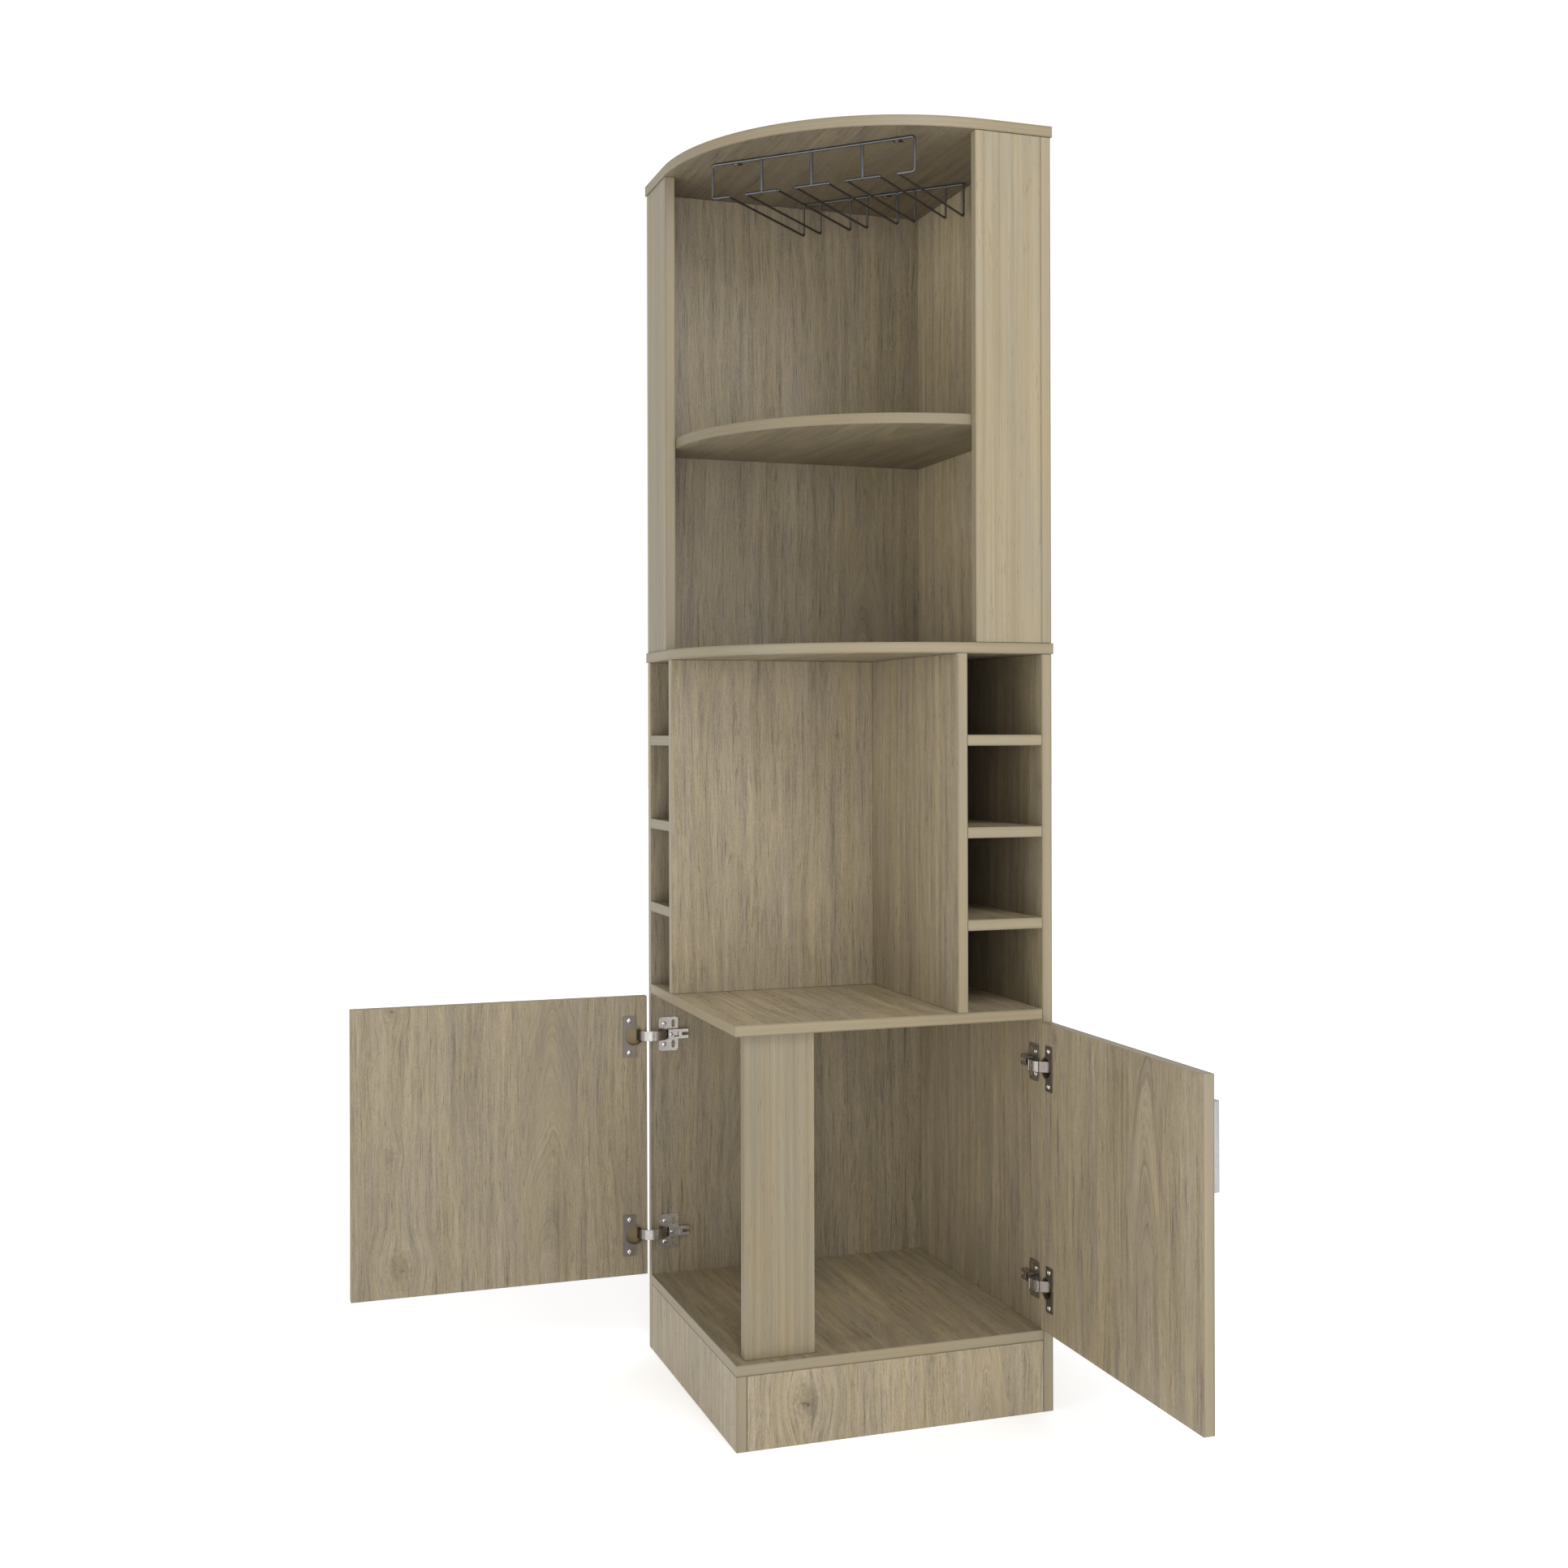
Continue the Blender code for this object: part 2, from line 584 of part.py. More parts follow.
def stemware_rack():
    """Four lanes of wire take the feet of upturned glasses."""
    back_off = (TOP_RADIUS - OVERHANG) - TOP_RADIUS / sqrt(2)
    place = (LEFT_FRONT + back_off, RIGHT_FRONT + back_off, TOP_BOARD)
    rack = add_axis("stemware_rack_axis", place, radians(-45))
    top = -SEAM
    bar = top - WIRE_RADIUS
    rail = bar - RACK_DROP
    reach = 2 * HANGER_PITCH
    corner_depth = (2 * INNER - place[0] - place[1]) / sqrt(2)
    front, rear = RACK_SETBACK, corner_depth - RACK_CORNER_GAP

    corners = [(RAIL_REACH - reach, front, rail), (-reach, front, rail), (-reach, front, bar)]
    frame = wire("rack_front_frame", bent(corners + [(-u, v, w) for u, v, w in reversed(corners)]), rack)
    for i in (-1, 0, 1):
        middle = i * HANGER_PITCH
        foot = [(middle - RAIL_REACH, front, rail), (middle + RAIL_REACH, front, rail)]
        drop = [(middle, front, top - HANGER_RADIUS), (middle, front, rail)]
        combine(frame, "UNION", wire(f"rack_foot_{i + 2}", foot, rack, None))
        combine(frame, "UNION", wire(f"rack_drop_{i + 2}", drop, rack, None, HANGER_RADIUS))
    for way in (-1, 1):
        place = way * reach * TAB_OUTER_SHARE
        combine(frame, "UNION", tab(f"rack_front_tab_{way + 2}", place, front, top, rack))

    clear = WIRE_RADIUS + SEAM
    places = []
    for i in range(-2, 3):
        places += [i * HANGER_PITCH + way * RAIL_REACH for way in (-1, 1)]
    for number, place in enumerate(places[1:-1], 1):
        corners = [(place, front + clear, rail), (place, rear, rail), (place, rear, bar - clear)]
        wire(f"rack_rail_{number}", bent(corners), rack, radius=RAIL_RADIUS)

    outer = max(places[1:-1]) + RAIL_RADIUS
    rear_bar = wire("rack_rear_bar", [(-outer, rear, bar), (outer, rear, bar)], rack)
    combine(rear_bar, "UNION", tab("rack_rear_tab", 0, rear, top, rack))


def clear_scene():
    """Remove whatever the scene holds."""
    for item in list(bpy.data.objects):
        bpy.data.objects.remove(item, do_unlink=True)


def main():
    """Build the whole cabinet."""
    clear_scene()
    side_panels()
    plinth()
    square_shelves()
    corner_post()
    bottle_cubbies()
    round_boards()
    stiles()
    doors()
    stemware_rack()


main()
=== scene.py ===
"""Corner bar cabinet in oak-print laminated board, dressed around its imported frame."""

import json
from math import atan2, cos, pi, radians, sin, sqrt

import bmesh
import bpy
from mathutils import Matrix, Vector, noise

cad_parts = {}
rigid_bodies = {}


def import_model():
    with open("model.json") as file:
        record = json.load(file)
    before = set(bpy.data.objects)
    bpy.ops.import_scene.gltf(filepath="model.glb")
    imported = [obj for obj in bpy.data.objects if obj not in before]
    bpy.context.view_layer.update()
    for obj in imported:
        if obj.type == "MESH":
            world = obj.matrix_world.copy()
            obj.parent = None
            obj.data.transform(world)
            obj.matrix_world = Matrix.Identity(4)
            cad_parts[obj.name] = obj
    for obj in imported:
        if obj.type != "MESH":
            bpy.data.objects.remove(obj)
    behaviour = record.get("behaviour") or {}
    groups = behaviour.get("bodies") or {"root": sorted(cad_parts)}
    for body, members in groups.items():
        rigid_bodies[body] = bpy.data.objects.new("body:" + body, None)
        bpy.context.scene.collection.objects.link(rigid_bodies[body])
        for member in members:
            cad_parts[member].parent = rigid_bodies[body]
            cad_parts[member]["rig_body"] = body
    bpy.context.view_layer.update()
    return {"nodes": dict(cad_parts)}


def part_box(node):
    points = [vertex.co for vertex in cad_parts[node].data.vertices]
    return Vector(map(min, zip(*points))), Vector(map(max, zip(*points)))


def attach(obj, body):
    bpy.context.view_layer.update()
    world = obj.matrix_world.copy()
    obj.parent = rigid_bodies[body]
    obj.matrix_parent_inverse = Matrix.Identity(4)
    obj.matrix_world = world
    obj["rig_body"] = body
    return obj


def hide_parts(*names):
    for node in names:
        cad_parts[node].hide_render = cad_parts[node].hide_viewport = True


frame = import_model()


# Camera and studio
#
# The picture is taken from in front and a little to the left, at about waist height. The lens is
# shifted so that the cabinet's upright lines stay upright, and four soft boxes light a white room.

CAMERA_PLACE = (-1.1534, -2.8591, 0.9262)
CAMERA_TURN = radians(-20.0176)
CAMERA_ROLL = radians(-0.14906)
CAMERA_LENS = 44.220
CAMERA_SHIFT = (-0.04805, -0.03091)

lens = bpy.data.cameras.new("shifted_lens")
lens.lens = CAMERA_LENS
lens.shift_x, lens.shift_y = CAMERA_SHIFT
viewpoint = bpy.data.objects.new("viewpoint", lens)
viewpoint.matrix_world = (
    Matrix.Translation(CAMERA_PLACE)
    @ Matrix.Rotation(CAMERA_TURN, 4, "Z")
    @ Matrix.Rotation(pi / 2, 4, "X")
    @ Matrix.Rotation(CAMERA_ROLL, 4, "Z")
)
bpy.context.collection.objects.link(viewpoint)
bpy.context.scene.camera = viewpoint
bpy.context.scene.view_settings.view_transform = "Standard"


def linear(code):
    """An sRGB hex colour as linear red, green, blue and alpha."""
    parts = [int(code[i : i + 2], 16) / 255 for i in (1, 3, 5)]
    return (*[v / 12.92 if v <= 0.04045 else ((v + 0.055) / 1.055) ** 2.4 for v in parts], 1)


def add(tree, kind, sockets=(), **settings):
    """One shader node with its settings.

    sockets fills its inputs, in their own order or by name. Each takes a value, another node's
    output, or another node, which stands for the first of its outputs in use.
    """
    made = tree.nodes.new("ShaderNode" + kind)
    for key, value in settings.items():
        setattr(made, key, value)
    if isinstance(sockets, dict):
        pairs = [(made.inputs[key], value) for key, value in sockets.items()]
    else:
        pairs = list(zip([socket for socket in made.inputs if socket.enabled], sockets))
    for socket, value in pairs:
        if isinstance(value, bpy.types.Node):
            value = next(output for output in value.outputs if output.enabled)
        if isinstance(value, bpy.types.NodeSocket):
            tree.links.new(value, socket)
        else:
            socket.default_value = value
    return made


# A lit backdrop hangs behind the cabinet; elsewhere the walls are pale low down and dim above
ROOM_LIGHT = 0.12
WALL_LIGHT = 0.80
WALL_TOP = 0.32  # the height, as a part of a direction, where the walls have grown dim
BACKDROP_LIGHT = 1.03
BACKDROP_EDGE = 0.5
world = bpy.data.worlds.new("white_room")
world.use_nodes = True
room = world.node_tree
heading = add(room, "TexCoord").outputs["Generated"]
heading = add(room, "SeparateXYZ", [heading]).outputs
wall = (heading["Z"], 0, WALL_TOP, WALL_LIGHT, ROOM_LIGHT)
wall = add(room, "MapRange", wall, interpolation_type="SMOOTHSTEP")
glow = (heading["Y"], 0, BACKDROP_EDGE, wall, BACKDROP_LIGHT)
glow = add(room, "MapRange", glow, interpolation_type="SMOOTHSTEP")
room.links.new(glow.outputs["Result"], room.nodes["Background"].inputs["Strength"])
room.nodes["Background"].inputs["Color"].default_value = linear("#FFFFFF")
bpy.context.scene.world = world

# The floor is matt white paper, lit from within a little so that it meets the backdrop with no edge
FLOOR_SIZE = 30
FLOOR_WHITE = "#F4F4F4"
FLOOR_GLOW = (0.4, 2.0, 0.44, 0.80)  # two distances from the corner, and the glow at each
floor_shape = bmesh.new()
bmesh.ops.create_grid(floor_shape, x_segments=1, y_segments=1, size=FLOOR_SIZE)
floor_mesh = bpy.data.meshes.new("studio_floor")
floor_shape.to_mesh(floor_mesh)
floor_shape.free()
paper = bpy.data.materials.new("white_paper")
paper.use_nodes = True
paper_shader = paper.node_tree.nodes["Principled BSDF"]
paper_shader.inputs["Base Color"].default_value = linear(FLOOR_WHITE)
paper_shader.inputs["Roughness"].default_value = 0.9
paper_shader.inputs["Emission Color"].default_value = linear("#FFFFFF")
away = add(paper.node_tree, "TexCoord").outputs["Object"]
away = add(paper.node_tree, "VectorMath", [away], operation="LENGTH")
glow = add(paper.node_tree, "MapRange", (away, *FLOOR_GLOW), interpolation_type="SMOOTHSTEP")
paper.node_tree.links.new(glow.outputs["Result"], paper_shader.inputs["Emission Strength"])
floor_mesh.materials.append(paper)
floor = bpy.data.objects.new("studio_floor", floor_mesh)
bpy.context.collection.objects.link(floor)

# name, place and power of each soft box; all of them face the cabinet's middle
SOFT_BOX_SIZE = 1.8
SOFT_BOXES = (
    ("camera_soft_box", (-1.30, -3.50, 1.2), 23),
    ("front_soft_box", (0.60, -3.80, 1.5), 11),
    ("left_soft_box", (-3.70, -1.50, 1.5), 32),
    ("high_soft_box", (-0.20, -3.20, 3.2), 66),
)
AIM = Vector((-0.3, -0.3, 0.9))
for name, place, power in SOFT_BOXES:
    lamp = bpy.data.lights.new(name, "AREA")
    lamp.energy = power
    lamp.size = SOFT_BOX_SIZE
    box = bpy.data.objects.new(name, lamp)
    box.location = place
    box.rotation_euler = (AIM - Vector(place)).to_track_quat("-Z", "Y").to_euler()
    bpy.context.collection.objects.link(box)


# Boards
#
# Particle board 15 mm thick, faced on both sides with melamine paper printed as oak, sawn to size
# and edged with tape. Fixed together from inside with cams and dowels, so no fixing shows.

OAK_TAN = "#8B7E64"
OAK_GREY = "#877C69"
OAK_HONEY = "#8F8160"
OAK_PORE = "#584C37"
OAK_KNOT = "#453B2C"
STILE_TAN = "#918367"
STILE_GREY = "#8B826D"
EDGE_JOINT = "#655B46"
SEED_STEP = 3.7  # how far apart the boards' places in the print lie
NOISE_RANGE = (0.28, 0.72)  # nearly all of a noise texture's values lie between these

# Width across the grain and length along it of each kind of mark, in metres
BAND = (0.05, 0.6)
WANDER = (0.11, 0.40)
HUE_PATCH = (0.028, 0.40)
HONEY_STREAK = (0.017, 0.16)
PORE_SLIVER = (0.0016, 0.020)
PORE_CLUSTER = (0.014, 0.12)
KNOT_GRIT = (0.008, 0.008)
HEART_FADE = (0.3, 0.30)
FLECK = (0.7, 0.15, 0.5)  # these two are shares of the fibres' width, length and strength
DARK_LINE = (1.5, 3, 0.8)

# Two values of a mark, and how strongly it shows at each
HUE_SHOWN = (0.34, 0.66, 0, 1)
HONEY_SHOWN = (0.52, 0.72, 0, 0.5)
SLIVER_SHOWN = (0.58, 0.68, 0, 1)
CLUSTER_SHOWN = (0.46, 0.60, 0, 1)
HEART_SHOWN = (0.40, 0.52, 0, 1)
HALO_SHOWN = (2.6, 0.4, 0, 1)  # here and in the eye the values are distances, in knot sizes
EYE_SHOWN = (0.15, -0.35, 0, 1)
LINE_SHOWN = (0.56, 0.70)
HALO_DARK = 0.42
EYE_DARK = 0.75

DULLNESS = (0.3, 0.7, 0.45, 0.57)  # two values of the fibres, and the roughness at each
PORE_DULL = 0.15  # how much rougher a pore is
FIBRE_RELIEF = 0.5  # how high the fibres stand, against the depth of the pores
EMBOSSED = 0.0004  # how deep the press marks the paper

KNOT_SQUASH = 0.75  # a knot is longer than it is wide
KNOT_REACH = (6, 0.5, 0, -0.8)  # from 6 to half a knot's size away, the grain is drawn aside
FAR_OFF = 9  # more knot sizes, or metres, than anything is away
HEART_STEEP = 0.22  # how steeply the growth rings run out of a flat-sawn board
HEART_HALF = 0.012  # half the width of an arch's round tip
HEART_SWING = 2.5  # how much more the arches wander than the rest of the grain
HEART_EDGES = (0.055, 0.015, 0, 0.75)  # the arches fade in between these distances from it
HEART_SLOW = 0.3  # the arches' marks are drawn out along the board
TAPE_LINE = (0.0052, 0.0064, 0, 0.5)  # the glue line, from the tape's middle


def show(name, shape, materials, body, replaced=()):
    """Put a finished bmesh in the scene as a piece that rides on a body."""
    mesh = bpy.data.meshes.new(name)
    shape.to_mesh(mesh)
    shape.free()
    for material in materials:
        mesh.materials.append(material)
    piece = bpy.data.objects.new(name, mesh)
    bpy.context.collection.objects.link(piece)
    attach(piece, body)
    if replaced:
        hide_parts(*replaced)


def oak_print(
    name, tan, grey, bands, streak, fibre, swing, pores, knots=(), flat_sawn=False, joint=False
):
    """Melamine paper printed with oak: dull and slightly embossed, so it shines in soft patches.

    The print reads the piece's "grain" attribute, in metres: across the grain, along it, and the
    board's own place in the print. bands is the strength of the wide bands, streak and fibre are
    (width, length, strength) of the growth streaks and of the fibres, swing is how far the grain
    wanders, and pores is how dark they are. Real fibres are 0.5 mm wide and are drawn about four
    times as wide, because the picture can't show finer ones.
    """
    material = bpy.data.materials.new(name)
    material.use_nodes = True
    tree = material.node_tree
    shader = tree.nodes["Principled BSDF"]
    grain = add(tree, "Attribute", attribute_name="grain").outputs["Vector"]

    def marks(at, size, detail, rough=0.6):
        """Smooth random marks with a width across the grain and a length along it."""
        width, length = size
        stretched = add(tree, "Mapping", {"Vector": at, "Scale": (1 / width, 1 / length, 1)})
        sockets = {"Vector": stretched, "Scale": 1, "Detail": detail, "Roughness": rough}
        return add(tree, "TexNoise", sockets)

    def shading(at, size, detail, rough, strength):
        """The same marks as a swing of light and dark either side of nought."""
        spread = (*NOISE_RANGE, -strength / 2, strength / 2)
        return add(tree, "MapRange", (marks(at, size, detail, rough), *spread))

    def growth(at):
        """The light and dark of wide bands, streaks, fibres and the dark lines between them."""
        fleck = [whole * share for whole, share in zip(fibre, FLECK)]
        line = [whole * share for whole, share in zip(fibre, DARK_LINE)]
        tone = shading(at, BAND, 2, 0.6, bands)
        for layer in (
            shading(at, streak[:2], 5, 0.65, streak[2]),
            shading(at, fibre[:2], 3, 0.7, fibre[2]),
            shading(at, fleck[:2], 1, 0.6, fleck[2]),
        ):
            tone = add(tree, "Math", (tone, layer), operation="ADD")
        lines = add(tree, "MapRange", (marks(at, line[:2], 2), *LINE_SHOWN, 0, line[2]))
        return add(tree, "Math", (tone, lines), operation="SUBTRACT")

    # The grain wanders sideways, and flows round each knot
    place = add(tree, "SeparateXYZ", [grain])
    across, along, sheet = place.outputs
    wander = add(tree, "Math", (marks(grain, WANDER, 2), 0.5), operation="SUBTRACT")
    wander = add(tree, "Math", (wander, swing), operation="MULTIPLY")
    across = add(tree, "Math", (wander, across), operation="ADD")
    near = FAR_OFF
    if knots:
        flattened = add(tree, "VectorMath", (grain, (1, KNOT_SQUASH, 1)), operation="MULTIPLY")
        for seed, u, v, size in knots:
            spot = (u, KNOT_SQUASH * v, seed * SEED_STEP)
            distance = add(tree, "VectorMath", (flattened, spot), operation="DISTANCE")
            distance = add(tree, "Math", (distance, size), operation="DIVIDE")
            pull = add(tree, "MapRange", (distance, *KNOT_REACH))
            beside = add(tree, "Math", (across, u), operation="SUBTRACT")
            pull = add(tree, "Math", (pull, beside), operation="MULTIPLY")
            across = add(tree, "Math", (across, pull), operation="ADD")
            near = add(tree, "Math", (near, distance), operation="MINIMUM")
    flowing = add(tree, "CombineXYZ", (across, along, sheet))
    tone = growth(flowing)
    if flat_sawn:
        # Flat-sawn heart: rings cut almost along the trunk draw a column of pointed arches
        off_heart = add(tree, "Attribute", attribute_name="heart").outputs["Fac"]
        off_heart = add(tree, "Math", (wander, HEART_SWING, off_heart), operation="MULTIPLY_ADD")
        ring = add(tree, "Math", (off_heart, off_heart, HEART_HALF**2), operation="MULTIPLY_ADD")
        ring = add(tree, "Math", [ring], operation="SQRT")
        ring = add(tree, "Math", (along, HEART_STEEP, ring), operation="MULTIPLY_ADD")
        slow = add(tree, "Math", (along, HEART_SLOW), operation="MULTIPLY")
        arched = add(tree, "CombineXYZ", (ring, slow, sheet))
        inside = add(tree, "Math", [off_heart], operation="ABSOLUTE")
        inside = add(tree, "MapRange", (inside, *HEART_EDGES))
        patches = add(tree, "MapRange", (marks(grain, HEART_FADE, 1), *HEART_SHOWN))
        inside = add(tree, "Math", (inside, patches), operation="MULTIPLY")
        tone = add(tree, "Mix", (inside, tone, growth(arched)))

    hue = add(tree, "MapRange", (marks(flowing, HUE_PATCH, 4), *HUE_SHOWN))
    colour = add(tree, "Mix", (hue, linear(tan), linear(grey)), data_type="RGBA")
    honey = add(tree, "MapRange", (marks(flowing, HONEY_STREAK, 3), *HONEY_SHOWN))
    colour = add(tree, "Mix", (honey, colour, linear(OAK_HONEY)), data_type="RGBA")
    # Each board's "shade" attribute scales the print's brightness: partly the board's own tone,
    # partly painted light and shade set board by board
    painted_light_and_tone = add(tree, "Attribute", attribute_name="shade").outputs["Fac"]
    light = add(tree, "Math", (tone, 1), operation="ADD")
    light = add(tree, "Math", (light, painted_light_and_tone), operation="MULTIPLY")
    colour = add(tree, "VectorMath", (colour, light), operation="SCALE")

    # Pores: short dark slivers that gather where the print is coarse
    slivers = add(tree, "MapRange", (marks(flowing, PORE_SLIVER, 2), *SLIVER_SHOWN))
    gathered = add(tree, "MapRange", (marks(flowing, PORE_CLUSTER, 2), *CLUSTER_SHOWN))
    pore = add(tree, "Math", (slivers, gathered), operation="MULTIPLY")
    pore = add(tree, "Math", (pore, pores), operation="MULTIPLY")
    colour = add(tree, "Mix", (pore, colour, linear(OAK_PORE)), data_type="RGBA")
    if knots:
        # Each knot is a small dark eye in a ragged brown halo
        ragged = add(tree, "Math", (near, shading(grain, KNOT_GRIT, 5, 0.75, 3)), operation="ADD")
        halo = add(tree, "MapRange", (ragged, *HALO_SHOWN))
        halo = add(tree, "Math", (halo, HALO_DARK), operation="MULTIPLY")
        eye = add(tree, "MapRange", (ragged, *EYE_SHOWN))
        eye = add(tree, "Math", (eye, EYE_DARK), operation="MULTIPLY")
        colour = add(tree, "Mix", (halo, colour, linear(OAK_PORE)), data_type="RGBA")
        colour = add(tree, "Mix", (eye, colour, linear(OAK_KNOT)), data_type="RGBA")
    if joint:
        side = add(tree, "Math", [place.outputs[0]], operation="ABSOLUTE")
        side = add(tree, "MapRange", (side, *TAPE_LINE))
        colour = add(tree, "Mix", (side, colour, linear(EDGE_JOINT)), data_type="RGBA")
    tree.links.new(colour.outputs[2], shader.inputs["Base Color"])

    fibres = marks(flowing, fibre[:2], 2)
    dull = add(tree, "MapRange", (fibres, *DULLNESS))
    dull = add(tree, "Math", (pore, PORE_DULL, dull), operation="MULTIPLY_ADD")
    tree.links.new(dull.outputs[0], shader.inputs["Roughness"])
    relief = add(tree, "Math", (fibres, FIBRE_RELIEF), operation="MULTIPLY")
    relief = add(tree, "Math", (relief, pore), operation="SUBTRACT")
    bump = add(tree, "Bump", {"Height": relief, "Strength": 0.25, "Distance": EMBOSSED})
    tree.links.new(bump.outputs[0], shader.inputs["Normal"])
    return material


LEFT_DOOR_LOW, LEFT_DOOR_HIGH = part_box("left_door")
# Each knot: its board's place in the print, its place across and along the board, and its size
KNOTS = (
    (20, LEFT_DOOR_LOW[0] + 0.058, LEFT_DOOR_HIGH[2] - 0.006, 0.0060),
    (20, LEFT_DOOR_LOW[0] + 0.056, LEFT_DOOR_HIGH[2] - 0.211, 0.0040),
    (20, LEFT_DOOR_LOW[0] + 0.069, LEFT_DOOR_HIGH[2] - 0.376, 0.0085),
    (6, -0.358, 0.056, 0.0085),
    (3, -0.420, 1.395, 0.0055),
    (3, -0.262, 1.425, 0.0030),
    (21, -0.520, 0.520, 0.0040),
    (2, -0.300, 0.900, 0.0050),
    (1, -0.330, 0.640, 0.0045),
)
# Printed as flat-sawn oak: coarse streaks and pores, a few small knots and, on some boards, arches
PANEL_PRINT = oak_print(
    "flat_sawn_oak_melamine", OAK_TAN, OAK_GREY, bands=0.20, streak=(0.011, 0.30, 0.52),
    fibre=(0.0019, 0.030, 0.42), swing=0.022, pores=0.65, knots=KNOTS, flat_sawn=True
)
# Printed as rift-sawn oak: long straight lines and no figure, so stiles and post look smooth
STILE_PRINT = oak_print(
    "rift_sawn_oak_melamine", STILE_TAN, STILE_GREY, bands=0.07, streak=(0.010, 1.20, 0.40),
    fibre=(0.0024, 0.20, 0.12), swing=0.004, pores=0.35
)
# A printed strip glued to each edge: nearly plain, with a darker glue line along both its sides
EDGE_TAPE = oak_print(
    "oak_edge_tape", STILE_TAN, STILE_GREY, bands=0.06, streak=(0.006, 1.60, 0.22),
    fibre=(0.0020, 0.50, 0.13), swing=0.001, pores=0.1, joint=True
)

EASED = 0.0005  # the tape's edges are scraped round
FLAT_ANGLE = radians(1)  # faces that meet at less than this are one flat face
SOFT_ANGLE = radians(35)  # faces that meet at less than this are one curved surface
SHARP_ANGLE = radians(50)  # an edge sharper than this gets rounded over


def eased_copy(node, ease):
    """A node's shape with its sharp edges rounded over; flat faces stay truly flat to the light."""
    shape = bmesh.new()
    shape.from_mesh(frame["nodes"][node].data)
    bmesh.ops.remove_doubles(shape, verts=shape.verts, dist=1e-6)
    bmesh.ops.dissolve_limit(shape, angle_limit=FLAT_ANGLE, verts=shape.verts, edges=shape.edges)
    for face in shape.faces:
        face.smooth = any(FLAT_ANGLE < edge.calc_face_angle(0) < SOFT_ANGLE for edge in face.edges)
    sharp = [edge for edge in shape.edges if edge.calc_face_angle(0) > SHARP_ANGLE]
    eased = bmesh.ops.bevel(
        shape, geom=sharp, offset=ease, segments=2, profile=0.5, affect="EDGES", clamp_overlap=True
    )
    rounds = set(eased["faces"])
    for face in rounds:
        face.smooth = True
    for edge in shape.edges:
        kinds = {face in rounds for face in edge.link_faces}
        edge.smooth = len(kinds) == 1 and edge.calc_face_angle(0) < SOFT_ANGLE
    return shape


EDGE_SEED = 1.3  # an edge's place in the print, off its board's own
FACE_SQUARE = 0.9  # a flat face looks this squarely out of its board, and a taped edge less so
FRONT_FACING = 0.01  # a front edge's normal points no further than this to the back


def board(node, along, face_print, seed, tone=1, edge_painted_light_and_tone=0.95, heart=FAR_OFF, curve=None):
    """A taped board in place of a node.

    Each corner gets its place in the print, in its "grain" attribute. On an edge the print runs
    along the tape. along is the axis of the grain, and heart is where its arches stand. tone and
    the edges' tone set how light the board's faces and edges come out, in its "shade" attribute:
    partly a board's own tone out of the press, partly painted light and shade, set board by board.
    curve is the (x, y, radius) of a round corner.
    """
    low, high = (Vector(corner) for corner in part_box(node))
    size = high - low
    thick = min(range(3), key=lambda axis: size[axis])
    across = 3 - thick - along
    centre = (low[thick] + high[thick]) / 2
    shape = eased_copy(node, EASED)
    grain = shape.loops.layers.float_vector.new("grain")
    shade = shape.loops.layers.float.new("shade")
    off_heart = shape.loops.layers.float.new("heart")
    for face in shape.faces:
        normal = face.normal
        flat = abs(normal[thick]) > FACE_SQUARE
        face.material_index = 0 if flat else 1
        for corner in face.loops:
            place = corner.vert.co
            corner[off_heart] = place[across] - heart
            if flat:
                corner[shade] = tone
                corner[grain] = (place[across], place[along], seed * SEED_STEP)
                continue
            lengthwise = across if abs(normal[along]) > abs(normal[across]) else along
            run = place[lengthwise]
            if curve and normal.x < FRONT_FACING and normal.y < FRONT_FACING:
                # Round the front corner, the tape's print runs on by the length of the arc
                x, y, radius = curve
                if place.x < x and place.y < y:
                    run = radius * (atan2(place.y - y, place.x - x) + 2 * pi)
                elif place.x >= x:
                    run = radius * 1.5 * pi + place.x - x
                else:
                    run = radius * pi - place.y + y
            corner[shade] = edge_painted_light_and_tone
            corner[grain] = (place[thick] - centre, run, seed * SEED_STEP + EDGE_SEED)
    body = frame["nodes"][node]["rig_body"]
    show(node + "_dressed", shape, (face_print, EDGE_TAPE), body, (node,))


X, Y, Z = 0, 1, 2
TOP_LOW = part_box("top_board")[0]
SHELF_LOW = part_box("middle_shelf")[0]
TOP_RADIUS = 0.362
SHELF_RADIUS = 0.347
TOP_CURVE = (TOP_LOW[0] + TOP_RADIUS, TOP_LOW[1] + TOP_RADIUS, TOP_RADIUS)
SHELF_CURVE = (SHELF_LOW[0] + SHELF_RADIUS, SHELF_LOW[1] + SHELF_RADIUS, SHELF_RADIUS)
